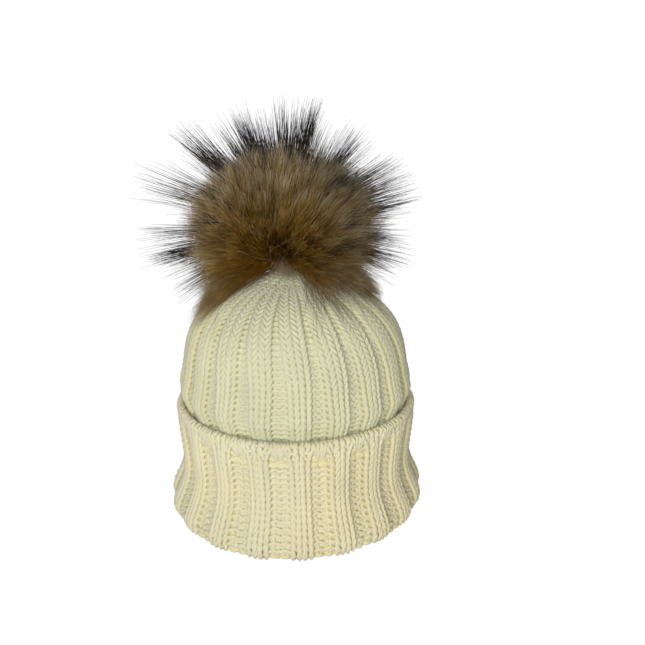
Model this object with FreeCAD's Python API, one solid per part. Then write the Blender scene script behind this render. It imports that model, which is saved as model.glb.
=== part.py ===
import FreeCAD, Part
import math
import os

# A knitted pom pom beanie with a turned-up ribbed cuff and a fur pom on a press stud.
# Units are millimetres. +Z is up, and the origin is the centre of the bottom rim,
# on the plane that the rim rests on. The front of the hat faces -Y.

V = FreeCAD.Vector
UP = V(0, 0, 1)
ORIGIN = V(0, 0, 0)

# Knitted hat
KNIT_WALL = 4.8          # thickness of the ribbed knit
TUBE_R = 84.0            # outside of the body where the cuff covers it
BODY_R = 87.4            # outside of the body just above the cuff
PEAK_Z = 184.0           # top of the gathered crown
PEAK_R = 4.6             # radius of the small flat at the peak
FOLD_GAP = 0.4           # running room between the body and the cuff

# Turned-up cuff
CUFF_H = 87.0            # height of the cuff above the rim
CUFF_WALL = 3.8          # thickness of the turned-up layer
CUFF_TOP_R = 90.6        # outside of the cuff near its top edge
CUFF_WAIST_R = 88.6      # outside of the cuff at its narrowest
CUFF_FLARE_R = 99.0      # outside of the cuff at its widest, just above the rim
CUFF_FOOT_R = 94.0       # outer edge of the flat that the hat stands on

# Seam, gathering yarn and label
YARN_R = 1.3             # radius of the sewing yarn
SEAM_GAP = 0.2           # room between the seam yarn and the wall behind it
LABEL_W = 25.0
LABEL_L = 38.0
LABEL_T = 0.7
LABEL_TOP_Z = 62.0
LABEL_Y = 75.4           # inner face of the label, clear of the seam yarn

# Press stud
PIVOT_Z = 184.4          # centre of the thread shank that the pom rocks on
SHANK_R = 3.0
SHANK_GAP = 0.3
SNAP_R = 8.5             # radius of both flanges
SNAP_T = 0.6             # thickness of both flanges
STUD_Z = 187.5           # underside of the stud's flange
STUD_NECK_R = 2.1
STUD_HEAD_R = 2.5
FLANGE_GAP = 1.55        # between the two flanges when the pom is on; the stitches fill it
SOCKET_HOLE_R = 2.55
SOCKET_GROOVE_R = 3.6
SOCKET_HUB_R = 4.6
RING_WIRE_R = 0.35
RING_R = 2.9
SEW_HOLE_R = 1.1
SEW_CIRCLE_R = 6.2
SEW_HOLES = 4
STITCH_R = 0.3           # radius of the sewing thread
STITCH_RISE = 0.7        # from a flange's middle plane to the thread that lies on it
STITCH_REACH = 0.5       # how far a stitch wraps past the flange's rim

# Fur pom
BASE_R = 13.0            # leather disc under the pom
BASE_T = 1.5
PELT_T = 1.2
PELT_R = 23.0            # radius of the stuffed pelt bag
PELT_MID_Z = 214.4
UNDERFUR_R = 70.0        # radius of the dense fur
UNDERFUR_TOP_Z = 268.0
GUARD_SPAN_R = 104.0     # how far the longest guard hairs reach from the snap's axis
GUARD_TOP_Z = 300.0
TUFT_BASE_R = 2.6
TUFT_TIP_R = 0.4
TUFT_SINK = 3.0          # how deep a tuft starts before it is trimmed to the dense fur

# Heights that follow from the ones above
SOCKET_Z = STUD_Z + SNAP_T + FLANGE_GAP
SOCKET_TOP_FLANGE_Z = SOCKET_Z + SNAP_T
BASE_Z = SOCKET_TOP_FLANGE_Z + 0.1
RING_Z = SOCKET_TOP_FLANGE_Z + 0.55
STUD_HEAD_Z = RING_Z + 0.75
STUD_TOP_Z = STUD_HEAD_Z + 1.2
HUB_TOP_Z = STUD_TOP_Z + 0.8
TUBE_IN_R = TUBE_R - KNIT_WALL


def save(shape, name):
    """Writes one node's STEP file after checking that it is made of closed solids."""
    bad = [s for s in shape.Solids if not s.isValid() or s.Volume <= 0]
    if bad or not shape.Solids:
        raise ValueError(name + " is not a set of closed solids")
    shape.exportStep(os.path.join("parts", name + ".step"))
    box = shape.BoundBox
    print("%-22s solids %3d  volume %10.1f  z %7.2f to %7.2f" %
          (name, len(shape.Solids), shape.Volume, box.ZMin, box.ZMax))


def at(r, z):
    """A point of a section that is turned about the Z axis."""
    return V(r, 0, z)


def line(a, b):
    return Part.LineSegment(a, b).toShape()


def spline(points):
    curve = Part.BSplineCurve()
    curve.interpolate(points)
    return curve.toShape()


def turned(edges):
    """Revolves a closed section, given as edges in the XZ plane, about the Z axis."""
    face = Part.Face(Part.Wire(edges))
    return face.revolve(ORIGIN, UP, 360)


def disc(radius, bottom, thickness):
    return Part.makeCylinder(radius, thickness, V(0, 0, bottom))


def around(shape, count, start=0.0):
    """Copies of a shape, evenly spaced about the Z axis."""
    copies = []
    for i in range(count):
        copy = shape.copy()
        copy.rotate(ORIGIN, UP, start + i * 360.0 / count)
        copies.append(copy)
    return copies


# Section of the knitted body, from the cuff up to the peak

BODY_POINTS = [
    at(TUBE_R + 0.5, CUFF_H - 1.0),
    at(BODY_R, 93.0),
    at(BODY_R - 1.6, 106.0),
    at(BODY_R - 5.2, 126.0),
    at(BODY_R - 11.8, 144.0),
    at(BODY_R - 22.0, 157.0),
    at(BODY_R - 38.0, 168.0),
    at(BODY_R - 54.0, 174.5),
    at(BODY_R - 69.0, 179.0),
    at(BODY_R - 78.0, 182.4),
    at(PEAK_R, PEAK_Z),
]


def inner_point(p):
    """The point one wall thickness inside the body, towards a centre low in the dome."""
    centre = at(0, 96.0)
    away = p.sub(centre)
    return centre.add(away.multiply((away.Length - KNIT_WALL) / away.Length))


def crown_knit():
    """The body of the hat: a tube under the cuff, then a dome gathered to a peak."""
    waist_z = CUFF_H - 8.0
    shoulder = at(TUBE_R, waist_z)
    foot = at(TUBE_R, 0)
    foot_in = at(TUBE_IN_R, 0)
    inside = [inner_point(p) for p in BODY_POINTS[2:-1]]
    top_in = at(0, PEAK_Z - KNIT_WALL)
    waist_in = at(TUBE_IN_R, waist_z)
    top = at(0, PEAK_Z)
    edges = [
        line(foot_in, foot),
        line(foot, shoulder),
        spline([shoulder] + BODY_POINTS),
        line(BODY_POINTS[-1], top),
        line(top, top_in),
        spline([top_in] + inside[::-1] + [waist_in]),
        line(waist_in, foot_in),
    ]
    pocket = Part.makeSphere(SHANK_R + SHANK_GAP, V(0, 0, PIVOT_Z))
    return turned(edges).cut(pocket)


def cuff_knit():
    """The turned-up rib: a wall that hugs the body, and a flared fold at the rim."""
    bore = TUBE_R + FOLD_GAP
    top_bore = BODY_R - 1.2
    foot_in = at(bore, 0)
    foot_out = at(CUFF_FOOT_R, 0)
    outside = [
        foot_out,
        at(CUFF_FLARE_R - 1.4, 2.6),
        at(CUFF_FLARE_R, 8.0),
        at(CUFF_FLARE_R - 4.0, 20.0),
        at(CUFF_WAIST_R + 0.3, 36.0),
        at(CUFF_WAIST_R, 52.0),
        at(CUFF_TOP_R, 74.0),
        at(CUFF_TOP_R - 0.6, CUFF_H - 3.6),
        at(CUFF_TOP_R - 3.0, CUFF_H - 0.6),
    ]
    lip = at(top_bore + 0.6, CUFF_H - 1.2)
    lip_in = at(top_bore, CUFF_H - 3.6)
    throat = at(bore, CUFF_H - 9.0)
    pocket_top = at(bore, 34.0)
    pocket = [
        at(CUFF_FLARE_R - 4.4 - CUFF_WALL, 19.0),
        at(CUFF_FLARE_R - CUFF_WALL, 8.0),
        at(CUFF_FLARE_R - CUFF_WALL - 3.0, CUFF_WALL),
    ]
    pocket_foot = at(bore, CUFF_WALL)
    edges = [
        line(foot_in, foot_out),
        spline(outside),
        line(outside[-1], lip),
        line(lip, lip_in),
        line(lip_in, throat),
        line(throat, pocket_top),
        line(pocket_top, pocket[0]),
        spline(pocket),
        line(pocket[-1], pocket_foot),
        line(pocket_foot, foot_in),
    ]
    return turned(edges)


def rod_along(points, radius):
    """A round yarn along a smooth curve through the points."""
    path = Part.Wire([spline(points)])
    ring = Part.Circle(points[0], points[1].sub(points[0]), radius).toShape()
    return path.makePipeShell([Part.Wire([ring])], True, True)


def back_seam_yarn():
    """The sewn join up the inside of the back, from the rim to the gathered peak."""
    step_in = YARN_R + SEAM_GAP
    straight = [V(0, TUBE_IN_R - step_in, z) for z in (3.0, 28.0, 54.0, 80.0)]
    dome = []
    for p in BODY_POINTS[3:-3]:
        q = inner_point(p)
        pull = at(0, 96.0).sub(q)
        q = q.add(pull.multiply((step_in + 0.4) / pull.Length))
        dome.append(V(0, q.x, q.z))
    return rod_along(straight + dome, YARN_R)


def cuff_seam_yarn():
    """The same join inside the pocket of the turned-up cuff."""
    ring_r = TUBE_R + FOLD_GAP
    points = [
        V(0, ring_r + 2.4, CUFF_WALL + 1.6),
        V(0, ring_r + 3.6, 9.0),
        V(0, ring_r + 3.0, 15.0),
    ]
    return rod_along(points, YARN_R * 0.7)


def crown_gather_yarn():
    """The drawn loop that closes the last row of stitches, and its knot, under the peak."""
    z = PEAK_Z - KNIT_WALL - 2 * YARN_R - 0.6
    loop = Part.makeTorus(7.0, YARN_R, V(0, 0, z))
    knot = Part.makeSphere(2.2, V(0, 7.0, z - 0.6))
    return loop.fuse(knot).removeSplitter()


def stud_backing():
    """A felt disc inside the peak that spreads the pull of the press stud."""
    return disc(4.8, PEAK_Z - KNIT_WALL - 2.6, 1.6)


def care_label():
    """A blank folded label that hangs from the back seam."""
    outer = Part.makeBox(LABEL_W, LABEL_T, LABEL_L, V(-LABEL_W / 2, LABEL_Y, LABEL_TOP_Z - LABEL_L))
    corners = [e for e in outer.Edges if abs(e.tangentAt(0).y) > 0.9 and e.BoundBox.ZMax < LABEL_TOP_Z - 1]
    return outer.makeFillet(3.0, corners)


def stud_thread():
    """The wound thread shank that ties the stud to the peak."""
    return Part.makeSphere(SHANK_R, V(0, 0, PIVOT_Z))


def sew_holes(bottom, thickness):
    hole = Part.makeCylinder(SEW_HOLE_R, thickness + 2, V(SEW_CIRCLE_R, 0, bottom - 1))
    return around(hole, SEW_HOLES, 45.0)


def stitches(middle_z):
    """One flat loop of thread through each sewing hole and over the flange's rim."""
    near = SEW_CIRCLE_R + STITCH_RISE
    far = SNAP_R + STITCH_REACH - STITCH_RISE
    low = middle_z - STITCH_RISE
    high = middle_z + STITCH_RISE
    path = Part.Wire([
        line(at(near, high), at(far, high)),
        Part.Arc(at(far, high), at(far + STITCH_RISE, middle_z), at(far, low)).toShape(),
        line(at(far, low), at(near, low)),
        Part.Arc(at(near, low), at(near - STITCH_RISE, middle_z), at(near, high)).toShape(),
    ])
    ring = Part.Circle(at(near, high), V(1, 0, 0), STITCH_R).toShape()
    loop = path.makePipeShell([Part.Wire([ring])], True, True)
    return Part.makeCompound(around(loop, SEW_HOLES, 45.0))


def press_stud():
    """The half on the hat: a flange with a headed post."""
    flange = disc(SNAP_R, STUD_Z, SNAP_T)
    collar = Part.makeCone(STUD_NECK_R + 1.6, STUD_NECK_R, 1.2, V(0, 0, STUD_Z + SNAP_T))
    neck = disc(STUD_NECK_R, STUD_Z, STUD_HEAD_Z - STUD_Z)
    low = Part.makeCone(STUD_NECK_R, STUD_HEAD_R, 0.5, V(0, 0, STUD_HEAD_Z - 0.5))
    head = disc(STUD_HEAD_R, STUD_HEAD_Z, STUD_TOP_Z - STUD_HEAD_Z)
    top_edge = [e for e in head.Edges if e.BoundBox.ZMin > STUD_TOP_Z - 0.01]
    head = head.makeFillet(0.9, top_edge)
    body = flange.fuse([collar, neck, low, head])
    return body.cut(sew_holes(STUD_Z, SNAP_T)).removeSplitter()


def press_socket():
    """The half on the pom: a flange with a hollow hub that holds the spring ring."""
    flange = disc(SNAP_R, SOCKET_Z, SNAP_T)
    hub = disc(SOCKET_HUB_R, SOCKET_Z, HUB_TOP_Z - SOCKET_Z)
    hub_edge = [e for e in hub.Edges if e.BoundBox.ZMin > HUB_TOP_Z - 0.01]
    hub = hub.makeFillet(0.6, hub_edge)
    groove = disc(SOCKET_GROOVE_R, SOCKET_TOP_FLANGE_Z, 1.1)
    bore = disc(SOCKET_HOLE_R, SOCKET_Z - 1, SNAP_T + 2)
    cavity = disc(SOCKET_HOLE_R + 0.1, SOCKET_TOP_FLANGE_Z, STUD_TOP_Z + 0.3 - SOCKET_TOP_FLANGE_Z)
    body = flange.fuse(hub).cut([groove, bore, cavity])
    return body.cut(sew_holes(SOCKET_Z, SNAP_T)).removeSplitter()


def socket_spring_ring():
    """The open wire ring that grips the post under its head."""
    return Part.makeTorus(RING_R, RING_WIRE_R, V(0, 0, RING_Z), UP, -180, 180, 315)


# The pom

def pelt_points(scale):
    """Half section of the stuffed bag, scaled about its middle."""
    shape = [
        (0.40, -0.93),
        (0.68, -0.84),
        (0.93, -0.52),
        (1.00, -0.06),
        (0.86, 0.50),
        (0.48, 0.86),
        (0.0, 0.98),
    ]
    return [at(r * PELT_R * scale, PELT_MID_Z + h * PELT_R * scale) for r, h in shape]


def pelt_solid(scale, bottom_z):
    """The bag's outer form as one solid, closed flat at the bottom."""
    points = pelt_points(scale)
    edges = [
        spline(points),
        line(points[-1], at(0, bottom_z)),
        line(at(0, bottom_z), at(points[0].x, bottom_z)),
        line(at(points[0].x, bottom_z), points[0]),
    ]
    return turned(edges)


def inner_scale(depth):
    return 1.0 - depth / PELT_R


def pelt_skin():
    outside = pelt_solid(1.0, PELT_MID_Z - 0.95 * PELT_R)
    inside = pelt_solid(inner_scale(PELT_T), PELT_MID_Z - 0.99 * PELT_R)
    mouth = disc(PELT_R * 0.36, PELT_MID_Z - PELT_R - 1, 6)
    return outside.cut([inside, mouth])


def pom_stuffing():
    ball = pelt_solid(inner_scale(PELT_T + 0.3), PELT_MID_Z - 0.86 * PELT_R)
    room = disc(PELT_R * 0.34, 0, HUB_TOP_Z + 0.4)
    return ball.cut(room)


def pelt_gather_thread():
    """The drawstring through the mouth of the pelt bag."""
    return Part.makeTorus(6.6, 0.7, V(0, 0, BASE_Z + BASE_T + 0.9))


def pom_base():
    """The leather disc that closes the bag and carries the socket."""
    body = disc(BASE_R, BASE_Z, BASE_T)
    loop_room = disc(SNAP_R + 0.8, BASE_Z - 1, 1 + 0.75)
    hub_room = disc(SOCKET_HUB_R + 0.2, BASE_Z - 1, BASE_T + 2)
    ring_room = loop_room.cut(disc(5.0, BASE_Z - 2, 4))
    return body.cut([hub_room, ring_room])


def fur_ball():
    """The outer form of the dense fur: a soft ball with a sloping underside."""
    skirt_in = at(BASE_R + 0.6, BASE_Z + 1.0)
    skirt_out = at(UNDERFUR_R - 5.0, BASE_Z - 12.0)
    outside = [
        skirt_out,
        at(UNDERFUR_R - 1.2, BASE_Z - 6.0),
        at(UNDERFUR_R, 206.0),
        at(UNDERFUR_R - 6.0, 232.0),
        at(UNDERFUR_R - 26.0, 255.0),
        at(UNDERFUR_R - 50.0, UNDERFUR_TOP_Z - 2.6),
        at(0, UNDERFUR_TOP_Z),
    ]
    floor_z = skirt_in.z
    edges = [
        line(at(0, floor_z), skirt_in),
        line(skirt_in, skirt_out),
        spline(outside),
        line(outside[-1], at(0, floor_z)),
    ]
    return turned(edges)


def underfur():
    """The dense fur, with a hollow for the stuffed bag and a mouth for the leather disc."""
    bag = pelt_solid(1.01, PELT_MID_Z - 0.96 * PELT_R)
    mouth = disc(BASE_R + 0.6, BASE_Z, PELT_MID_Z - 0.72 * PELT_R - BASE_Z)
    return fur_ball().cut([bag, mouth])


def oval_r(flat, tall, elevation):
    """Distance from an oval's middle to its edge, at an angle above the level."""
    c = math.cos(elevation) / flat
    s = math.sin(elevation) / tall
    return 1.0 / math.hypot(c, s)


def guard_hair_tufts():
    """Pointed tufts of long guard hair that stand out of the dense fur."""
    rings = [
        (-20.0, 12, 15.0),
        (-2.0, 18, 0.0),
        (18.0, 18, 10.0),
        (40.0, 14, 0.0),
        (64.0, 8, 22.5),
        (90.0, 1, 0.0),
    ]
    middle = V(0, 0, PELT_MID_Z)
    ball = fur_ball()
    tufts = []
    for elevation, count, start in rings:
        e = math.radians(elevation)
        out = V(math.cos(e), 0, math.sin(e))
        near = oval_r(UNDERFUR_R, UNDERFUR_TOP_Z - PELT_MID_Z, e) - TUFT_SINK
        reach = oval_r(GUARD_SPAN_R, GUARD_TOP_Z - PELT_MID_Z, e)
        root = middle.add(V(out).multiply(near))
        cone = Part.makeCone(TUFT_BASE_R, TUFT_TIP_R, reach - near, root, out)
        tufts += around(cone.cut(ball).Solids[0], count, start)
    return Part.makeCompound(tufts)


NODES = [
    crown_knit,
    back_seam_yarn,
    crown_gather_yarn,
    stud_backing,
    cuff_knit,
    cuff_seam_yarn,
    care_label,
    stud_thread,
    press_stud,
    socket_spring_ring,
    press_socket,
    pom_base,
    pelt_gather_thread,
    pelt_skin,
    pom_stuffing,
    underfur,
    guard_hair_tufts,
]

os.makedirs("parts", exist_ok=True)
for build in NODES:
    save(build(), build.__name__)
save(stitches(STUD_Z + SNAP_T / 2), "stud_stitches")
save(stitches(SOCKET_TOP_FLANGE_Z - SNAP_T / 2), "socket_stitches")
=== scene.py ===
import math

import bmesh
import bpy
import numpy as np
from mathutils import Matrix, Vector
from mathutils.bvhtree import BVHTree


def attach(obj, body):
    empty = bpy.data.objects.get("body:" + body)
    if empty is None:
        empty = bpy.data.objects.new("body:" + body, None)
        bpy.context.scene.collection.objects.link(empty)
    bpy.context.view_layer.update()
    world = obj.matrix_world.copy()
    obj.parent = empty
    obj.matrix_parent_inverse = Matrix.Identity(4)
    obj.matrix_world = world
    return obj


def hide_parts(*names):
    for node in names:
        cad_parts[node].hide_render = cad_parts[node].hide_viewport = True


# The looks of a knitted pom pom beanie: a k2p2 rib made stitch by stitch, a turned-up cuff,
# a gathered crown, and a fur pom made strand by strand. Lengths are metres, rows of the knit
# are called courses, and columns are called wales.

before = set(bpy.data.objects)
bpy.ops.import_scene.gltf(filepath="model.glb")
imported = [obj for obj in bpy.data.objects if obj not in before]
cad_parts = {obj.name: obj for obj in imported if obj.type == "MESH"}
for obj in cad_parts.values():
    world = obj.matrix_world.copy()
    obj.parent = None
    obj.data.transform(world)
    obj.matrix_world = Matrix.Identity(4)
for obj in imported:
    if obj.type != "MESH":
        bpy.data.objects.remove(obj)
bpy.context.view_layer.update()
MM = 0.001
TAU = 2 * math.pi

# ---------------------------------------------------------------- driving sizes

REPEATS = 20                 # ribs round the hat; each is two knit and two purl wales
YARN_R = 1.47 * MM
LOOP_DEPTH = 1.0 * MM        # how far a stitch's legs stand in front of the fabric's middle
PURL_LEAN = 0.25             # sideways swing of a stitch's legs, as a share of its width
TIGHT_LEAN = 0.235           # the same for knit stitches where the rib is stretched wide
EASY_LEAN = 0.31             # and where it is relaxed, so that they open into a V
CUFF_ROW = 4.5 * MM
BODY_ROW = 4.15 * MM
LOOP_TALL = 1.15             # half height of a loop, in rows
BODY_START = 7.15 * MM       # the first row of the body, clear of the table
CUFF_RELIEF = 1.5 * MM       # rib above gutter, each side of the middle
BODY_RELIEF = 1.35 * MM
KNIT_SIDES = 6
KNIT_STEPS = 14              # points along one stitch
EASY_WALE = 5.6 * MM         # a wale narrower than this squeezes its yarn
HALF_KNIT = LOOP_DEPTH + YARN_R
TUBE_TOP = 0.09              # above this height the gutters close and the dome begins
BEHIND_CUFF = 0.082          # how far up the body the cuff covers it
FUZZ_DEPTH = 0.6 * MM        # how far inside the fabric's middle the loose fibres lie

# ---------------------------------------------------------------- mesh helpers


def new_mesh(name, verts, faces_by_size, uv=None):
    """A mesh object from arrays: verts (n, 3), and face arrays of equal size each (m, k)."""
    mesh = bpy.data.meshes.new(name)
    mesh.vertices.add(len(verts))
    mesh.vertices.foreach_set("co", np.ascontiguousarray(verts, np.float32).ravel())
    faces_by_size = [f for f in faces_by_size if len(f)]
    corners = np.concatenate([f.ravel() for f in faces_by_size]).astype(np.int32)
    sizes = np.concatenate([np.full(len(f), f.shape[1]) for f in faces_by_size])
    starts = np.concatenate([[0], np.cumsum(sizes)[:-1]]).astype(np.int32)
    mesh.loops.add(len(corners))
    mesh.loops.foreach_set("vertex_index", corners)
    mesh.polygons.add(len(sizes))
    mesh.polygons.foreach_set("loop_start", starts)
    mesh.polygons.foreach_set("use_smooth", np.full(len(sizes), True))
    if uv is not None:
        layer = mesh.uv_layers.new(name="OFBake")
        layer.data.foreach_set("uv", np.ascontiguousarray(uv, np.float32).ravel())
    mesh.update()
    mesh.validate()
    obj = bpy.data.objects.new(name, mesh)
    bpy.context.scene.collection.objects.link(obj)
    return obj


def unit(v):
    return v / np.maximum(np.linalg.norm(v, axis=-1, keepdims=True), 1e-12)


def polar(r, angle, z):
    """Points at a radius, an angle about Z and a height."""
    return np.stack(np.broadcast_arrays(r * np.cos(angle), r * np.sin(angle), z), -1)


def circle(sides, across, up):
    """Unit circles of points, each in the plane of two directions (..., 3)."""
    angle = (np.arange(sides) * TAU / sides)[:, None]
    return np.cos(angle) * across[..., None, :] + np.sin(angle) * up[..., None, :]


def grid_quads(grid, closed=False):
    """Quads between the rows of a grid of vertex numbers. Each row is a ring."""
    a = grid if closed else grid[..., :-1, :]
    b = np.roll(grid, -1, -2) if closed else grid[..., 1:, :]
    return np.stack([a, np.roll(a, -1, -1), np.roll(b, -1, -1), b], -1).reshape(-1, 4)


def hit(tree, origin, direction):
    """Radius and height where a ray first meets a node that is round about Z."""
    place, _, _, _ = tree.ray_cast(Vector(origin), Vector(direction).normalized())
    return math.hypot(place.x, place.y), place.z


def node_tree(node):
    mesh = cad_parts[node].data
    verts = [v.co for v in mesh.vertices]
    faces = [tuple(p.vertices) for p in mesh.polygons]
    return BVHTree.FromPolygons(verts, faces)


def distances(points):
    """How far along a line of points each of them is."""
    return np.append(0, np.cumsum(np.linalg.norm(np.diff(points, axis=0), axis=1)))


class Outline:
    """A section curve, as radius and height against the distance along it."""

    def __init__(self, points):
        p = np.array(points, float)
        self.p = p[np.append(True, np.linalg.norm(np.diff(p, axis=0), axis=1) > 0.2 * MM)]
        self.s = distances(self.p)
        self.length = self.s[-1]

    def point(self, s):
        s = np.clip(s, 0, self.length)
        return np.array([np.interp(s, self.s, values) for values in self.p.T])

    def at(self, s):
        """The curve's point at s, which runs straight on past its ends."""
        s = np.asarray(s, float)
        over = np.maximum(s - self.length, 0) + np.minimum(s, 0)
        r, z = self.point(s)
        tr, tz = self.along(np.clip(s, 0, self.length))
        return r + tr * over, z + tz * over

    def along(self, s):
        """The curve's direction at s."""
        step = 1.5 * MM
        dr, dz = self.point(s + step) - self.point(s - step)
        size = np.hypot(dr, dz)
        return dr / size, dz / size

    def inset(self, depth):
        """The same curve moved to its left-hand side, which is the fabric's inside."""
        s = np.linspace(0, self.length, 160)
        r, z = self.at(s)
        tr, tz = self.along(s)
        return Outline(np.stack([r - tz * depth, z + tr * depth], 1))


def crown_outline():
    """The hat's body from the rim's inside edge, up the tube and over the dome to the peak."""
    tree = node_tree("crown_knit")
    waist = 0.096
    points = [hit(tree, (0.3, 0, z), (-1, 0, 0)) for z in np.linspace(0.006, waist, 46)]
    for e in np.linspace(0.02, math.pi / 2 - 0.045, 70):
        d = Vector((math.cos(e), 0, math.sin(e)))
        points.append(hit(tree, Vector((0, 0, waist)) + d * 0.4, -d))
    return Outline(points)


FOLD_MIDDLE = Vector((0.087, 0, 0.011))
EDGE_MIDDLE = Vector((0.0876, 0, 0.0805))


def cuff_outline():
    """The cuff from under the fold, round the flare and up to the rounded top edge."""
    tree = node_tree("cuff_knit")
    points = [(r, 0.0) for r in np.linspace(0.0852, 0.0888, 4)]
    for e in np.linspace(-1.35, 0, 14):
        d = Vector((math.cos(e), 0, math.sin(e)))
        points.append(hit(tree, FOLD_MIDDLE + d * 0.2, -d))
    points += [hit(tree, (0.3, 0, z), (-1, 0, 0)) for z in np.linspace(0.013, 0.078, 34)]
    for e in np.linspace(0.1, 2.7, 16):
        d = Vector((math.cos(e), 0, math.sin(e)))
        points.append(hit(tree, EDGE_MIDDLE + d * 0.03, -d))
    return Outline(points)


def smooth(a, b, x):
    """0 at a and 1 at b, with a soft start and end."""
    t = np.clip((x - a) / (b - a), 0, 1)
    return t * t * (3 - 2 * t)


def leftness(azimuth):
    return np.clip(-np.cos(azimuth), 0, 1)


# ---------------------------------------------------------------- knit

# How far the purl gutters have closed at each height of the hat's body: heights, then shares.
GUTTER_HEIGHTS = (0.095, 0.104, 0.125, 0.142, 0.156, 0.164, 0.170)
GUTTER_CLOSED = (0.10, 0.18, 0.32, 0.44, 0.60, 0.78, 0.94)
KIND = np.tile([1, 1, -1, -1], REPEATS).astype(float)
RIB_TURN = math.radians(-3.3)      # where the first rib starts, from the X axis


def wale_widths(closing, keep):
    """Share of the round that each wale takes: two knit and two purl wales in each repeat."""
    keep = np.asarray(keep, float)
    knit_part = 0.5 * (1 + closing) * keep[:2] / max(keep[:2].sum(), 1e-9)
    purl_part = 0.5 * (1 - closing) * keep[2:] / max(keep[2:].sum(), 1e-9)
    share = np.concatenate([knit_part, purl_part])
    share[keep < 0.12] = 0
    share[share < 0.035] = 0
    return np.tile(share / share.sum(), REPEATS) / REPEATS


def make_course(rng, c):
    """One course of loops: angle, distance up the fabric, depth, share of the round and count."""
    share = wale_widths(c["closing"], c["keep"])
    index = np.nonzero(share > 0)[0]
    width = share[index]
    left = np.concatenate([[0], np.cumsum(width)[:-1]])
    count = len(index)
    # t runs from sinker to sinker across one stitch, so its head is in the middle
    t = (np.arange(KNIT_STEPS) + 0.5) / KNIT_STEPS
    phase = (t - 0.5) * TAU
    jig = rng.normal(0, 1, (count, 4))
    kind = KIND[index]
    lean = np.where(kind > 0, c["lean"], PURL_LEAN)[:, None]
    kind = np.where(kind < 0, kind * (1 - c["plain"]) + c["plain"], kind)
    u = t[None] + (lean + 0.011 * jig[:, :1]) * np.sin(2 * phase)[None]
    v = (LOOP_TALL + 0.024 * jig[:, 1:2]) * np.cos(phase)[None] + 0.035 * jig[:, 2:3]
    before = np.roll(kind, 1)
    after = np.roll(kind, -1)
    near_l = np.clip(1 - t / 0.16, 0, 1)[None]
    near_r = np.clip(1 - (1 - t) / 0.16, 0, 1)[None]
    face = (kind[:, None] + 0.5 * near_l * (before - kind)[:, None]
            + 0.5 * near_r * (after - kind)[:, None])
    depth = -face * LOOP_DEPTH * np.cos(2 * phase)[None] + 0.05 * MM * jig[:, 3:4]
    # the middle of each rib keeps its place as the gutters close
    shift = (0.25 - 0.25 * (1 + c["closing"])) / REPEATS
    place = left[:, None] + width[:, None] * u + shift
    across = left[:, None] + width[:, None] * t[None]
    rise = c["s"] + v * c["row"]
    return (place * TAU).ravel(), rise.ravel(), depth.ravel(), across.ravel(), count


def rib_height(across, closing, plain):
    """+1 on the middle of a knit rib and -1 in the middle of a purl gutter."""
    repeat = (across * REPEATS) % 1.0
    knit_share = 0.5 * (1 + closing)
    on_rib = repeat < knit_share
    phase = np.where(on_rib, repeat / knit_share,
                     1 + (repeat - knit_share) / np.maximum(1 - knit_share, 1e-6))
    wave = np.sin(math.pi * phase)
    return np.tanh(1.7 * wave) / math.tanh(1.7) * (1 - plain)


def settle(points):
    """The worn-in shape: the crown leans, one shoulder is fuller and the rim isn't quite round."""
    x, y, z = np.moveaxis(points, -1, 0)
    angle = np.arctan2(y, x)
    swell = (1 + 0.005 * np.sin(3 * angle + 1.0) + 0.004 * np.sin(2 * angle - 0.6 + z * 20)
             + 0.003 * np.sin(5 * angle + z * 45))
    right = np.clip(np.cos(angle - 0.15), 0, 1) ** 2
    shoulder = smooth(0.118, 0.158, z) * smooth(0.184, 0.166, z)
    swell = swell + (0.03 * right - 0.045 * leftness(angle) ** 2) * shoulder
    lean = -0.0045 * smooth(0.115, 0.165, z) + 0.003 * smooth(0.168, 0.184, z)
    return np.stack([x * swell + lean, y * swell, z], -1)


def surface_point(outline, s, angle, lift):
    """A point at a lift from the fabric's middle, with the outward normal there."""
    r, z = outline.at(s)
    tr, tz = outline.along(np.clip(s, 0, outline.length))
    nr, nz = tz, -tr
    return settle(polar(r + nr * lift, angle, z + nz * lift)), polar(nr, angle, nz), r


def knit(name, outline, courses, rng, wander):
    """A band of knitting, each course a closed yarn. The UV map runs along the yarn and round it."""
    all_rings, all_uv, faces = [], [], []
    offset = 0
    for j, c in enumerate(courses):
        theta, s, depth, across, count = make_course(rng, c)
        angle = theta + wander(s) + RIB_TURN
        lift = c["relief"] * rib_height(across, c["closing"], c["plain"]) + depth
        path, normal, r = surface_point(outline, s, angle, lift)
        squeeze = np.clip(r * TAU / (count * EASY_WALE), 0.55, 1.0)
        along = unit(np.roll(path, -1, 0) - np.roll(path, 1, 0))
        side = unit(np.cross(along, normal))
        ring = circle(KNIT_SIDES, np.cross(side, along), side)
        n = len(path)
        grid = offset + np.arange(n * KNIT_SIDES).reshape(n, KNIT_SIDES)
        faces.append(grid_quads(grid, closed=True))
        u0 = np.repeat(np.arange(n) / n, KNIT_SIDES)
        u1 = u0 + 1 / n
        v0 = (j + 0.02 + 0.96 * np.tile(np.arange(KNIT_SIDES) / KNIT_SIDES, n)) / len(courses)
        v1 = v0 + 0.96 / KNIT_SIDES / len(courses)
        uv = np.stack([np.stack([u0, v0], 1), np.stack([u0, v1], 1),
                       np.stack([u1, v1], 1), np.stack([u1, v0], 1)], 1)
        all_uv.append(uv.reshape(-1, 2))
        all_rings.append((path[:, None] + (YARN_R * squeeze)[:, None, None] * ring).reshape(-1, 3))
        offset += n * KNIT_SIDES
    verts = np.concatenate(all_rings)
    return new_mesh(name, verts, [np.concatenate(faces)], np.concatenate(all_uv))


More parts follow.
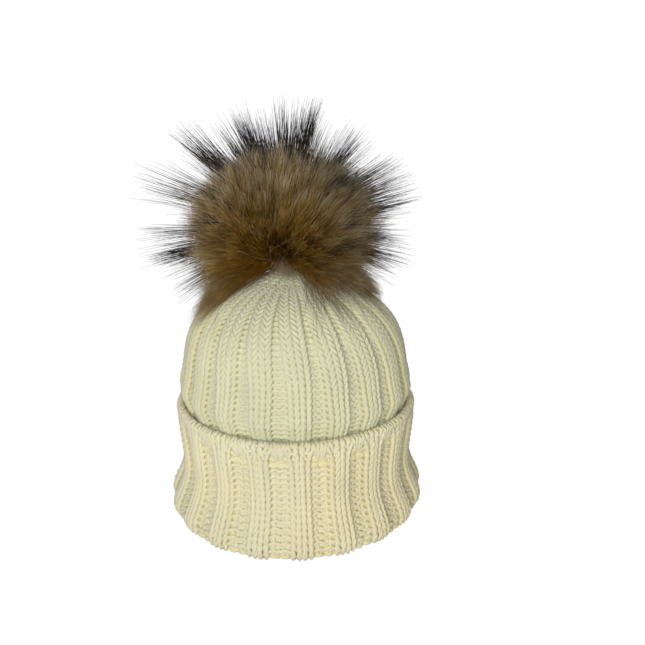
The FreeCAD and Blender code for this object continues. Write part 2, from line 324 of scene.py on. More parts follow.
def course(s, row, relief, closing, lean, keep=(1, 1, 1, 1), plain=0.0):
    """What one course is made from: its place, row height, rib relief, gutter closing and loops."""
    return {"s": s, "row": row, "relief": relief, "closing": closing, "lean": lean, "keep": keep,
            "plain": plain}


def body_outline():
    crown = crown_outline()
    fold = [(0.0845, 0.0), (0.0842, 0.0012), (0.084, 0.0035)]
    return Outline(fold + list(crown.p)).inset(HALF_KNIT + BODY_RELIEF * 0.75)


def cuff_middle():
    """The cuff's middle line: under the fold, up the flare, over the rim and down inside it."""
    outer = cuff_outline()
    s = np.linspace(0, outer.length, 220)
    r, z = outer.at(s)
    tr, tz = outer.along(s)
    top = z.max()
    upright = s < s[np.argmax(z)]
    relief = CUFF_RELIEF * (1 - 0.75 * smooth(top - 0.016, top - 0.003, z))
    inset = HALF_KNIT + 0.75 * relief
    body = [(a - c * i, b + d * i) for a, b, c, d, i, k in zip(r, z, tz, tr, inset, upright)
            if k and b < top - 0.0062]
    lip = 0.4 * MM
    roll = 1.35 * MM
    edge_r = body[-1][0] + lip
    start = top - HALF_KNIT - 1.6 * MM - lip
    arc = [(edge_r - roll + roll * math.cos(a), start + roll * math.sin(a))
           for a in np.linspace(0, math.pi, 12)]
    down = [(edge_r - 2 * roll, start - d) for d in (0.003, 0.006, 0.010)]
    line = Outline(body + arc + down)
    rim_s = line.s[np.argmax(line.p[:, 1])]
    return line, rim_s


body_line = body_outline()
cuff_line, cuff_rim = cuff_middle()


def body_courses():
    rows = int((body_line.length - 0.001 - BODY_START) / BODY_ROW)
    out = []
    for j in range(rows + 1):
        s = BODY_START + j * BODY_ROW
        r, z = body_line.at(s)
        closing = float(np.interp(z, GUTTER_HEIGHTS, GUTTER_CLOSED)) if z > TUBE_TOP else 0.05
        second_purl = 1 - float(smooth(0.136, 0.150, z))
        purl = 1.0 if z < 0.1695 else 0.0
        second_knit = 1 - float(smooth(0.030, 0.022, r))
        relief = BODY_RELIEF * (0.55 + 0.45 * float(smooth(0.05, 0.09, z)))
        relief *= 1 - 0.45 * float(smooth(0.14, 0.172, z))
        if purl == 0:
            closing, relief = 1.0, 0.0
        lean = TIGHT_LEAN + (EASY_LEAN - TIGHT_LEAN) * float(smooth(0.105, 0.145, z))
        keep = (1, second_knit, purl, second_purl * purl)
        out.append(course(s, BODY_ROW, relief, closing, lean, keep))
    return out


def cuff_courses():
    rows = int(cuff_line.length / CUFF_ROW)
    row = cuff_line.length / rows
    out = []
    for j in range(rows + 1):
        s = j * row
        left = cuff_rim - s
        closing = float(np.interp(left, (0.0, 0.006, 0.013), (0.15, 0.50, 0.04)))
        plain = float(smooth(0.0075, 0.006, left))
        relief = CUFF_RELIEF * (1 - 0.75 * float(smooth(0.016, 0.003, left)))
        relief *= 1 - 0.92 * float(smooth(0.015, 0.003, s))
        out.append(course(s, row, relief, closing, TIGHT_LEAN, (1, 1, 1, 1), plain))
    return out


def body_wander(s):
    return 0.012 * np.sin(s * 18.0 + 0.4)


def cuff_wander(s):
    return 0.010 * np.sin(s * 30.0 + 1.0)


body_list = body_courses()
cuff_list = cuff_courses()
HIDDEN = sum(1 for c in body_list if c["s"] < BEHIND_CUFF)
BANDS = (
    ("knit_inner_low", body_line, body_list[:10], body_wander, "hat"),
    ("knit_inner_high", body_line, body_list[10:HIDDEN], body_wander, "hat"),
    ("knit_body_low", body_line, body_list[HIDDEN:HIDDEN + 12], body_wander, "hat"),
    ("knit_body_mid", body_line, body_list[HIDDEN + 12:HIDDEN + 26], body_wander, "hat"),
    ("knit_crown", body_line, body_list[HIDDEN + 26:], body_wander, "hat"),
    ("knit_cuff_low", cuff_line, cuff_list[:14], cuff_wander, "cuff"),
    ("knit_cuff_high", cuff_line, cuff_list[14:], cuff_wander, "cuff"),
)
knit_pieces = []
for seed, (name, line_of, courses, wander, body) in enumerate(BANDS):
    piece = knit(name, line_of, courses, np.random.default_rng(seed + 1), wander)
    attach(piece, body)
    knit_pieces.append((piece, len(courses), body))
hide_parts("crown_knit")
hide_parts("cuff_knit")


def fuzz_and_shade_sheet(name, outline, courses, wander, start, end, steps):
    """The loose fibres deep between the stitches: one thin sheet inside the yarn, whose deep yellow is
    partly painted shade for the gaps.
    """
    around = 480
    s = np.linspace(start, end, steps)
    at = np.array([c["s"] for c in courses])
    row = courses[0]["row"]
    share = np.arange(around) / around
    rows = []
    for place in s:
        lift = np.full(around, 9.0)
        for near in (place - row, place, place + row):
            relief, closing, plain = (np.interp(near, at, [c[k] for c in courses])
                                      for k in ("relief", "closing", "plain"))
            lift = np.minimum(lift, relief * rib_height(share, closing, plain))
        closing = np.interp(place, at, [c["closing"] for c in courses])
        angle = (share - 0.25 * closing / REPEATS) * TAU + wander(place) + RIB_TURN
        point, _, _ = surface_point(outline, np.full(around, place), angle, lift - FUZZ_DEPTH)
        rows.append(point)
    grid = np.arange(steps * around).reshape(steps, around)
    k, i = np.meshgrid(np.arange(steps - 1), np.arange(around), indexing="ij")
    uv = np.stack([np.stack([i, k], -1), np.stack([i + 1, k], -1),
                   np.stack([i + 1, k + 1], -1), np.stack([i, k + 1], -1)], 2)
    uv = uv.reshape(-1, 2) / (around, steps)
    return new_mesh(name, np.reshape(rows, (-1, 3)), [grid_quads(grid)], uv)


body_end, cuff_end = body_line.length - 0.004, cuff_rim - 0.001
fuzz_and_shade = [
    (fuzz_and_shade_sheet("fuzz_body", body_line, body_list, body_wander, 0.008, body_end, 150), "hat"),
    (fuzz_and_shade_sheet("fuzz_cuff", cuff_line, cuff_list, cuff_wander, 0.009, cuff_end, 80), "cuff"),
]
for piece, body in fuzz_and_shade:
    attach(piece, body)

# ---------------------------------------------------------------- fur

PELT_CENTER = np.array((-0.003, 0.003, 0.2135))
PELT_ROOT_R = 0.0215
COAT_CENTER = np.array((-0.008, 0.0, 0.2125))     # the dense coat stands a little to one side
COAT_REACH = np.array((0.069, 0.069, 0.054))      # how far its tips reach, along X, Y and up
FRONT = -math.pi / 2
MOUTH = np.array((-0.23, -0.31, -0.92))            # from the coat's middle to the gathered mouth
PARTING = FRONT - 0.34                             # where the coat opens over the peak
VIEW_RISE = math.radians(24.7)                     # how far above the level the hat is seen from
AWAY = np.array((0, math.cos(VIEW_RISE), -math.sin(VIEW_RISE)))


def sphere_points(rng, count, low=-0.93):
    """Directions spread evenly over a sphere, above a height of low."""
    z = rng.uniform(low, 1.0, count)
    return polar(np.sqrt(1 - z * z), rng.uniform(0, TAU, count), z)


def turn_from(center, azimuth):
    """How far an azimuth is from another, whichever way round is shorter."""
    return np.abs((azimuth - center + math.pi) % TAU - math.pi)


def lowest_lean(azimuth):
    """The coat parts over the peak in front, and hangs round the crown everywhere else."""
    hang = 26.0 + 10.0 * leftness(azimuth)
    return np.radians(-16.0 - hang * smooth(0.40, 1.0, turn_from(PARTING, azimuth)))


def combed(normal):
    """Where a hair that grows along a normal ends up pointing."""
    azimuth = np.arctan2(normal[:, 1], normal[:, 0])
    lean = np.arcsin(np.clip(normal[:, 2], -1, 1))
    share = np.clip((lean + 1.2) / (math.pi / 2 + 1.2), 0, 1)
    low = lowest_lean(azimuth)
    lean = low + (math.pi / 2 - low) * share
    return polar(np.cos(lean), azimuth, np.sin(lean))


def fanned(aim, share):
    """A direction turned back from where a hair points towards the gathered mouth of the pelt."""
    return unit((1 - share) * aim + share * MOUTH)


def above_crown(paths, gap):
    """Hairs that would pass into the crown lie on it instead."""
    r = np.hypot(paths[..., 0], paths[..., 1])
    floor = np.interp(r, crown_r, crown_z) + gap
    out = paths.copy()
    out[..., 2] += np.maximum(floor - paths[..., 2], 0) * smooth(0.100, 0.080, r)
    return out


def bend(root, middle, tip, steps):
    """Curves from root to tip that lean towards the middle point."""
    t = np.linspace(0, 1, steps + 1)[None, :, None]
    return (1 - t) ** 2 * root[:, None] + 2 * t * (1 - t) * middle[:, None] + t * t * tip[:, None]


def clumped(rng, paths, guides, pull):
    """Draws each hair towards the nearest of some guide hairs, more so towards its tip."""
    chosen = rng.choice(len(paths), guides, replace=False)
    lead = paths[chosen]
    middle = paths[:, paths.shape[1] // 2]
    lead_middle = lead[:, lead.shape[1] // 2]
    nearest = np.empty(len(paths), int)
    for start in range(0, len(paths), 4000):
        part = middle[start:start + 4000]
        gap = ((part[:, None] - lead_middle[None]) ** 2).sum(-1)
        nearest[start:start + 4000] = gap.argmin(1)
    t = np.linspace(0, 1, paths.shape[1])[None, :, None]
    k = pull[:, None, None] * t ** 1.3
    return paths * (1 - k) + lead[nearest] * k


def waved(rng, paths, size):
    """A little crimp and stray in each hair."""
    n, k, _ = paths.shape
    t = np.linspace(0, 1, k)[None, :, None]
    sway = unit(rng.normal(0, 1, (n, 1, 3)))
    turn = rng.uniform(0, TAU, (n, 1, 1))
    rate = rng.uniform(3.0, 7.0, (n, 1, 1))
    stray = rng.normal(0, 1, (n, 1, 3)) * t * t
    return paths + size * (sway * np.sin(turn + rate * t) * t + 0.9 * stray)


def hair_mesh(name, paths, root_r, tip_r, tone, belly=0.25, taper=0.8):
    """Closed three-sided tapered hairs. The UV map holds root-to-tip and tone."""
    n, k, _ = paths.shape
    t = np.linspace(0, 1, k)
    along = unit(np.gradient(paths, axis=1))
    helper = np.where(np.abs(along[..., 2:3]) > 0.9, [[1.0, 0, 0]], [[0, 0, 1.0]])
    side = unit(np.cross(along, helper))
    up = np.cross(side, along)
    shape = np.clip(1 - t, 0, 1) ** taper * (1 + belly * np.sin(math.pi * t))
    radius = tip_r + (np.asarray(root_r)[:, None] - tip_r) * shape[None]
    verts = paths[:, :, None] + radius[:, :, None, None] * circle(3, side, up)
    grid = np.arange(n * k * 3).reshape(n, k, 3)
    quads = grid_quads(grid)
    caps = np.concatenate([grid[:, 0, ::-1], grid[:, -1]])
    tt = np.broadcast_to(t[None, :, None], (n, k, 3))
    vv = np.broadcast_to(np.asarray(tone)[:, None, None], (n, k, 3))
    uv_of = np.stack([tt, vv], -1).reshape(-1, 2)
    corners = np.concatenate([quads.ravel(), caps.ravel()])
    return new_mesh(name, verts.reshape(-1, 3), [quads, caps], uv_of[corners])


def hair_pair(name, paths, root_r, tip_r, tone, **shape):
    """Every other hair in each of two pieces, because one piece holds up to 200,000 triangles."""
    return [hair_mesh("%s_%d" % (name, i + 1), paths[i::2], root_r[i::2], tip_r, tone[i::2], **shape)
            for i in range(2)]


def underfur_paths(rng, count):
    """Hairs that start at the pelt, low down, and fan up and out along the coat."""
    aim = unit(combed(sphere_points(rng, count)) + rng.normal(0, 0.06, (count, 3)))
    root = PELT_CENTER + PELT_ROOT_R * fanned(aim, 0.42)
    azimuth = np.arctan2(aim[:, 1], aim[:, 0])
    uneven = 0.05 * np.sin(3 * azimuth + 0.7) + 0.05 * np.sin(7 * azimuth + 6 * aim[:, 2])
    low_left = smooth(0.1, -0.6, aim[:, 2]) * np.clip(-aim[:, 0], 0, 1)
    length = (1.0 + uneven + 0.14 * low_left) * rng.beta(4.6, 1.5, count) * 1.14
    tip = COAT_CENTER + COAT_REACH * aim * length[:, None]
    tip[:, 2] -= 0.009 * smooth(0.2, -0.6, aim[:, 2]) * length
    bulge = (0.66 * length + 0.06)[:, None]
    middle = COAT_CENTER + COAT_REACH * fanned(aim, rng.uniform(0.16, 0.34, (count, 1))) * bulge
    return root, middle, tip


crown_top = crown_outline().p
crown_top = crown_top[crown_top[:, 1] > TUBE_TOP]
crown_r, crown_z = crown_top[np.argsort(crown_top[:, 0])].T

UNDERFUR_PIECES = 7
UNDERFUR_EACH = 6000
FINE_TIP = 0.03 * MM


def tone_of(rng, paths):
    """0 to 0.2 is golden, which lies low in front; 0.3 is a dark lock, 0.6 brown and 1 pale beige."""
    place = paths[:, -1] - COAT_CENTER
    lock = (np.sin(place[:, 0] * 150 + 1.3) * np.sin(place[:, 2] * 170 + 0.4)
            * np.sin(place[:, 1] * 140 + 2.0))
    high = 0.30 * smooth(0.005, 0.045, place[:, 2])
    wide = 0.26 * smooth(0.025, 0.06, np.abs(place[:, 0]))
    count = len(paths)
    tone = np.clip(0.48 + 0.28 * lock + high + wide + rng.normal(0, 0.13, count), 0.3, 0.99)
    golden = (smooth(0.068, 0.020, np.abs(place[:, 0] + 0.008)) * smooth(0.045, 0.005, place[:, 2])
              * smooth(0.020, -0.030, place[:, 1]))
    return np.where(rng.uniform(0, 1, count) < 0.9 * golden, rng.uniform(0, 0.2, count), tone)


def make_underfur():
    rng = np.random.default_rng(11)
    count = UNDERFUR_PIECES * UNDERFUR_EACH
    root, middle, tip = underfur_paths(rng, count)
    paths = bend(root, middle, tip, 5)
    pull = rng.uniform(0.15, 0.75, count)
    paths = clumped(rng, paths, 620, pull)
    paths = waved(rng, paths, 1.9 * MM)
    paths = above_crown(paths, 2.2 * MM)
    tone = tone_of(rng, paths)
    thick = rng.uniform(0.10, 0.17, count) * MM
    pieces = []
    for i in range(UNDERFUR_PIECES):
        part = slice(i * UNDERFUR_EACH, (i + 1) * UNDERFUR_EACH)
        name = "underfur_%d" % (i + 1)
        pieces.append(hair_mesh(name, paths[part], thick[part], FINE_TIP, tone[part]))
    return pieces


def lean_vector(turn, depth):
    """A direction turned from upright to the right by turn, and away from the front by depth."""
    turn, depth = math.radians(turn), math.radians(depth)
    flat = math.cos(depth)
    return np.array((math.sin(turn) * flat, math.sin(depth), math.cos(turn) * flat))


# Tufts that stand round the outline: degrees from upright, degrees back, reach in mm, hairs.
OUTLINE_TUFTS = (
    (-72, 0, 111, 44), (-67, 8, 96, 22), (-48, 4, 101, 74), (-43, -6, 93, 40), (-31, 6, 88, 40),
    (-21, 0, 88, 90), (-14, 12, 85, 52), (-6, -4, 82, 40), (1, 4, 89, 50), (8, 10, 85, 52),
    (17, 0, 91, 130), (25, -8, 80, 22), (38, 4, 93, 70), (45, 10, 90, 34), (61, 0, 97, 90),
    (70, 6, 101, 76), (79, 0, 103, 74), (88, 8, 84, 40), (97, 0, 93, 60), (105, -6, 97, 70),
    (113, 4, 95, 60), (122, 10, 88, 40), (-88, 6, 76, 26), (-102, 0, 106, 110), (-108, 8, 98, 50),
    (-116, 0, 84, 26), (-124, 6, 98, 60), (-131, 14, 92, 40), (131, 20, 82, 30),
)
# How each of them divides in depth: degrees away from the front, share of its hairs, reach.
TUFT_LAYERS = ((0, 0.72, 1.0), (24, 0.24, 1.0), (-21, 0.26, 0.97), (48, 0.18, 0.97),
               (-46, 0.12, 0.86))
# Dark locks that end on the coat's near face: degrees from upright, degrees forward, hairs.
NEAR_TUFTS = ((-84, 50, 40), (-72, 36, 20), (136, 58, 46), (121, 40, 26), (-38, 48, 12), (96, 30, 16))


def tuft_paths(rng, direction, reach, count, spread):
    """A brush of hairs that draws together past the coat and opens again at its end."""
    direction = unit(np.asarray(direction))
    side = unit(np.cross(direction, (0.3, 0.9, 0.2)))
    other = np.cross(direction, side)
    fan = rng.normal(0, 1, (count, 2))
    normal = unit(direction[None] + 0.24 * (fan[:, :1] * side + fan[:, 1:] * other)
                  + rng.normal(0, 0.08, (count, 3)))
    root = PELT_CENTER + PELT_ROOT_R * normal
    length = reach * rng.beta(5.0, 1.4, count)[:, None] * 1.01
    aim = unit(direction[None] + spread * (fan[:, :1] * side + fan[:, 1:] * other)
               + rng.normal(0, spread * 0.35, (count, 3)))
    tip = COAT_CENTER + aim * length
    middle = COAT_CENTER + unit(direction[None] + 0.5 * (aim - direction)) * length * 0.52
    return root, middle, tip


def make_guard_hair():
    rng = np.random.default_rng(29)
    groups, tones = [], []
    for turn, depth, reach, count in OUTLINE_TUFTS:
        for away, share, longer in TUFT_LAYERS:
            part = max(int(1.75 * share * count), 4)
            far = math.radians(away + rng.normal(0, 4))
            way = math.cos(far) * lean_vector(turn + rng.normal(0, 0.8), depth) + math.sin(far) * AWAY
            groups.append(tuft_paths(rng, way, longer * reach * MM, part, 0.042))
            tones.append(np.clip(rng.normal(0.30, 0.16, part), 0, 1))
    for turn, forward, count in NEAR_TUFTS:
        near = math.radians(forward)
        way = math.cos(near) * lean_vector(turn, 0) - math.sin(near) * AWAY
        reach = 1.16 * np.linalg.norm(COAT_REACH * way)
        groups.append(tuft_paths(rng, way, reach, count, 0.07))
        tones.append(rng.uniform(0.1, 0.5, count))
    for direction in sphere_points(rng, 110, -0.55):
        azimuth = math.atan2(direction[1], direction[0])
        if math.asin(direction[2]) < lowest_lean(np.array([azimuth]))[0] + 0.05:
            continue
        # OUTLINE_TUFTS make the outline that the front shows, so these stay out of it
        facing = -direction[1]
        if abs(facing) < 0.3 and direction[2] > -0.2:
            continue
        if abs(facing) < 0.5:
            count, reach = int(rng.integers(8, 18)), rng.uniform(60, 76)
        elif facing > 0:
            count, reach = int(rng.integers(8, 22)), rng.uniform(60, 78)
        else:
            count, reach = int(rng.integers(30, 70)), rng.uniform(84, 98)
        groups.append(tuft_paths(rng, direction, reach * MM, count, 0.09))
        tones.append(np.clip(rng.normal(0.34, 0.18, count), 0, 1))
    root, middle, tip = (np.concatenate([g[i] for g in groups]) for i in range(3))
    paths = above_crown(waved(rng, bend(root, middle, tip, 7), 1.6 * MM), 3.0 * MM)
    thick = rng.uniform(0.12, 0.19, len(paths)) * MM
    return hair_pair("guard_hair", paths, thick, 0.045 * MM, np.concatenate(tones),
                     belly=0.7, taper=0.4)


def make_stray_hair():
    """Loose pale hairs that cross the coat."""
    rng = np.random.default_rng(47)
    count = 420
    aim = unit(combed(sphere_points(rng, count, -0.7)) + rng.normal(0, 0.25, (count, 3)))
    root = PELT_CENTER + PELT_ROOT_R * fanned(aim, 0.4)
    tip = COAT_CENTER + COAT_REACH * aim * rng.uniform(0.9, 1.2, count)[:, None]
    middle = COAT_CENTER + COAT_REACH * fanned(aim, 0.3) * 0.8 + rng.normal(0, 0.008, (count, 3))
    paths = above_crown(waved(rng, bend(root, middle, tip, 7), 1.8 * MM), 1.6 * MM)
    tone = rng.uniform(0.5, 0.9, count)
    return hair_mesh("stray_hair", paths, rng.uniform(0.05, 0.09, count) * MM, FINE_TIP, tone)


def on_crown(radius, azimuth, gap):
    """Points at a gap above the crown's surface."""
    return settle(polar(radius, azimuth, np.interp(radius, crown_r, crown_z) + gap))


SKIRT_HAIRS = 7000
LOW_HAIRS = 4200                     # others that lie right down on the crown, beside and behind


def make_skirt():
    """The lowest of the coat, which spreads from the gathered mouth and lies round the peak."""
    rng = np.random.default_rng(41)
    turn = rng.uniform(0, TAU, SKIRT_HAIRS)
    opening = np.where(np.cos(turn) < 0, 0.66, 0.56) + rng.normal(0, 0.08, SKIRT_HAIRS)
    azimuth = np.concatenate([turn[turn_from(PARTING, turn) > opening],
                              rng.uniform(-0.45, math.pi + 0.5, LOW_HAIRS)])
    count = len(azimuth)
    low = np.arange(count) >= count - LOW_HAIRS
    spread = azimuth + rng.normal(0, 0.10, count)
    start = rng.uniform(0.004, 0.011, count) + 0.003 * low
    height = rng.uniform(0.1885, 0.197, count) - 0.0035 * low
    side = turn_from(FRONT, spread)
    left = leftness(spread)
    longest = 0.046 + 0.011 * left * smooth(1.9, 1.3, side)
    reach = 0.024 + longest * smooth(0.4, 1.3 - 0.3 * left, side) * rng.beta(3.0, 1.4, count)
    tip = on_crown(reach, spread, rng.uniform(0.002, np.where(low, 0.010, 0.016)))
    half_gap = rng.uniform(np.where(low, 0.001, 0.008), np.where(low, 0.011, 0.017))
    half = on_crown(0.55 * reach, spread, half_gap)
    paths = waved(rng, bend(polar(start, azimuth, height), half, tip, 5), 1.5 * MM)
    paths = above_crown(clumped(rng, paths, 160, rng.uniform(0.1, 0.6, count)), 1.2 * MM)
    thick = rng.uniform(0.10, 0.17, count) * MM
    return hair_pair("underfur_skirt", paths, thick, FINE_TIP, tone_of(rng, paths))


def make_parting():
    """The short pale lock where the coat parts over the peak."""
    rng = np.random.default_rng(53)
    count = 650
    azimuth = PARTING + 0.10 + rng.normal(0, 0.20, count)
    root = polar(0.010, azimuth, rng.uniform(0.189, 0.196, count))
    reach = 0.012 + 0.014 * rng.beta(1.6, 2.2, count)
    tip = on_crown(reach, azimuth + rng.normal(0, 0.22, count), rng.uniform(0.001, 0.006, count))
    middle = 0.5 * (root + tip) + polar(0.005, azimuth, rng.uniform(0.002, 0.006, count))
    paths = waved(rng, bend(root, middle, tip, 5), 1.6 * MM)
    return hair_mesh("parting_lock", paths, rng.uniform(0.06, 0.10, count) * MM, FINE_TIP,
                     rng.uniform(0.3, 0.9, count))


def make_fallen_hair():
    """Dark guard hairs that have slipped out of the coat and lie down over the crown."""
    rng = np.random.default_rng(59)
    count = 260
    side = rng.uniform(0, 1, count) < 0.80
    azimuth = FRONT + np.where(side, rng.uniform(0.25, 1.25, count), -rng.uniform(0.7, 1.4, count))
    start = rng.uniform(0.014, 0.042, count)
    run = rng.uniform(0.016, 0.040, count)
    t = np.linspace(0, 1, 8)[None]
    drift = rng.normal(0, 0.14, (count, 1))
    radius = start[:, None] + run[:, None] * t
    gap = rng.uniform(0.002, 0.006, (count, 1)) * (1.2 - t) + 0.0014
    paths = on_crown(radius, azimuth[:, None] + drift * t * t, gap)
    return hair_mesh("fallen_hair", paths, rng.uniform(0.08, 0.15, count) * MM, FINE_TIP,
                     rng.uniform(0.1, 0.5, count), belly=0.6)


underfur = make_underfur() + make_skirt()
guard_hair = make_guard_hair()
pale_hair = [make_stray_hair(), make_parting()]
dark_hair = guard_hair + [make_fallen_hair()]
for pieces, slot in ((underfur + pale_hair, "underfur"), (dark_hair, "guard_hair")):
    for piece in pieces:
        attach(piece, "pom")
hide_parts("underfur")
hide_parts("guard_hair_tufts")

# ---------------------------------------------------------------- yarns, threads and small parts


def resampled(points, step, closed=False):
    """A smooth path through points, with a point about every step."""
    p = np.asarray(points, float)
    if closed:
        p = np.vstack([p, p[:1]])
    d = distances(p)
    count = max(int(d[-1] / step), 8)
    at = np.linspace(0, d[-1], count + 1)[:-1] if closed else np.linspace(0, d[-1], count)
    return np.stack([np.interp(at, d, p[:, k]) for k in range(3)], 1), at


def path_frame(path, closed):
    """Two directions across a path at each of its points, which don't twist about it."""
    if closed:
        along = unit(np.roll(path, -1, 0) - np.roll(path, 1, 0))
    else:
        along = unit(np.gradient(path, axis=0))
    side = np.zeros_like(path)
    last = np.cross(along[0], (0.31, 0.21, 0.93))
    for i, a in enumerate(along):
        last = last - a * last.dot(a)
        last = last / np.linalg.norm(last)
        side[i] = last
    return side, np.cross(along, side)


class Build:
    """Collects tubes and turned shapes into one mesh."""

    def __init__(self):
        self.verts, self.quads, self.caps, self.count = [], [], [], 0

    def add(self, verts, quads, caps=()):
        self.verts.append(verts)
        self.quads.append(quads + self.count)
        self.caps += [[i + self.count for i in cap] for cap in caps]
        self.count += len(verts)

    def tube(self, path, radius, sides=8, closed=False):
        verts = path[:, None] + radius * circle(sides, *path_frame(path, closed))
        grid = np.arange(len(path) * sides).reshape(len(path), sides)
        caps = () if closed else (list(grid[0, ::-1]), list(grid[-1]))
        self.add(verts.reshape(-1, 3), grid_quads(grid, closed), caps)

    def yarn(self, points, radius, turns_per_mm=0.16, plies=2, closed=False, sides=7):
        """Plies wound round each other along a path."""
        path, at = resampled(points, radius * 0.45, closed)
        side, up = path_frame(path, closed)
        total = at[-1] / MM * turns_per_mm
        rate = round(total) / at[-1] if closed else total / at[-1]
        for k in range(plies):
            turn = (at * rate + k / plies) * TAU
            ply = path + 0.5 * radius * (np.cos(turn)[:, None] * side + np.sin(turn)[:, None] * up)
            self.tube(ply, radius * 0.56, sides, closed)

    def turned(self, section, around=72, warp=None):
        """A closed section, as radius and height, turned about the Z axis."""
        angle = (np.arange(around) * TAU / around)[:, None]
        r, z = np.broadcast_to(np.transpose(section)[:, None], (2, around, len(section)))
        if warp is not None:
            r, z = warp(angle, r, z)
        grid = np.arange(r.size).reshape(r.shape)
        self.add(polar(r, angle, z).reshape(-1, 3), grid_quads(grid, True)[:, [0, 3, 2, 1]])

    def piece(self, name, body, slot, replaces=None, look=None):
        obj = new_mesh(name, np.concatenate(self.verts), [np.concatenate(self.quads)])
        if self.caps:
            mesh = bmesh.new()
            mesh.from_mesh(obj.data)
            mesh.verts.ensure_lookup_table()
            for cap in self.caps:
                mesh.faces.new([mesh.verts[int(i)] for i in cap]).smooth = True
            mesh.to_mesh(obj.data)
            mesh.free()
        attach(obj, body)
        if replaces:
            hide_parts(replaces)
        if look:
            obj.data.materials.append(look)
        return obj


def node_middle(node, bins, pivot_z):
    """The middle line of a CAD yarn that runs up the back of the hat, as Y and Z."""
    co = np.array([v.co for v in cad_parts[node].data.vertices])
    turn = np.arctan2(co[:, 2] - pivot_z, co[:, 1])
    edges = np.linspace(turn.min(), turn.max() + 1e-6, bins + 1)
    line = [co[(turn >= a) & (turn < b)] for a, b in zip(edges[:-1], edges[1:])]
    return np.array([part.mean(0) for part in line if len(part) > 3])[:, 1:]


def seam(node, body, look, bins, pivot_z, pitch, swing, radius):
    """A sewn join: the yarn crosses from edge to edge of the knit as it climbs."""
    middle = node_middle(node, bins, pivot_z)
    path, at = resampled(np.column_stack([np.zeros(len(middle)), middle]), 0.4 * MM)
    wave = at / pitch * TAU
    path[:, 0] += swing * np.tanh(2.2 * np.sin(wave))
    path[:, 1] -= 0.35 * MM * np.cos(2 * wave)
    shape = Build()
    shape.yarn(path, radius)
    return shape.piece(node + "_spun", body, "seam_yarn", node, look)


def ring_path(radius, z, waves, swell, rise, steps=240):
    """A wavy ring: it swells and rises a number of times on its way round."""
    a = np.arange(steps) * TAU / steps
    return polar(radius + swell * np.sin(waves * a), a, z + rise * np.cos(waves * a))


def make_gather_yarn(look):
    """The loop that draws the last row shut, with its knot and two cut ends."""
    shape = Build()
    z = 0.1754
    shape.yarn(settle(ring_path(7.0 * MM, z, 12, 0.7 * MM, 0.5 * MM)), 1.15 * MM, closed=True)
    a = np.linspace(0, TAU, 60, endpoint=False)
    knot = np.stack([(np.sin(a) + 2 * np.sin(2 * a)) * 0.62 * MM, (7.0 + np.sin(3 * a) * 0.8) * MM,
                     z - 0.8 * MM + (np.cos(a) - 2 * np.cos(2 * a)) * 0.62 * MM], 1)
    shape.yarn(settle(knot), 0.8 * MM, closed=True)
    for sign in (-1, 1):
        t = np.linspace(0, 1, 20)
        tail = np.stack([sign * (1.2 * t + 2.5 * t * t) * MM, (7.2 - 1.5 * t) * MM,
                         z + (-1.5 - 11 * t + 3 * t * t) * MM], 1)
        shape.yarn(settle(tail), 0.75 * MM)
    return shape.piece("crown_gather_spun", "hat", "seam_yarn", "crown_gather_yarn", look)


def rounded(inner, outer, low, high, edge, steps=5):
    """The section of a flat ring with rounded edges."""
    corners = ((outer - edge, low + edge, -90), (outer - edge, high - edge, 0),
               (inner + edge, high - edge, 90), (inner + edge, low + edge, 180))
    out = []
    for r, z, start in corners:
        for a in np.radians(np.linspace(start, start + 90, steps)):
            out.append((r + edge * math.cos(a), z + edge * math.sin(a)))
    return out


def make_backing(look):
    """The felt disc under the stud, frayed at its rim and dented by the stitches."""
    def warp(a, r, z):
        fray = 1 + 0.018 * np.sin(9 * a) * (r > 3 * MM) + 0.012 * np.sin(23 * a + 1)
        dent = 0.22 * MM * np.cos(4 * a) * np.exp(-((r - 2.6 * MM) / (0.9 * MM)) ** 2)
        return r * fray, z - dent
    shape = Build()
    flat = np.linspace(4.2, 0.05, 12)
    rim = [(4.6 * MM, 0.17685), (4.8 * MM, 0.1774), (4.6 * MM, 0.17795)]
    section = [(r * MM, 0.1766) for r in flat[::-1]] + rim + [(r * MM, 0.1782) for r in flat]
    shape.turned(section, 96, warp)
    return shape.piece("stud_backing_felt", "hat", "felt", "stud_backing", look)


SHANK_MIDDLE = 0.1844
STUD_FLANGE, SOCKET_FLANGE = 0.1878, 0.18995     # heights of the middle of each sewn flange
BASE_LOW, BASE_HIGH = 0.19035, 0.19185


def make_shank(look):
    """Thread wound round the strands that hold the stud to the peak."""
    shape = Build()
    t = np.linspace(-1, 1, 420)
    r = 2.62 * MM * np.sqrt(1 - (0.86 * t) ** 2)
    turn = t * 9 * TAU / 2
    shape.yarn(polar(r, turn, SHANK_MIDDLE + 2.5 * MM * t), 0.34 * MM, 0.9)
    for k in range(6):
        s = np.linspace(-1, 1, 30)
        r = 2.0 * MM * np.sqrt(1 - (0.8 * s) ** 2)
        shape.yarn(polar(r, k * TAU / 6, SHANK_MIDDLE + 2.75 * MM * s), 0.34 * MM, 0.9)
    a = np.linspace(-1.5, 1.5, 18)
    shape.turned(np.column_stack([2.2 * MM * np.cos(a), SHANK_MIDDLE + 2.5 * MM * np.sin(a)]), 40)
    return shape.piece("stud_thread_wound", "thread_shank", "thread", "stud_thread", look)


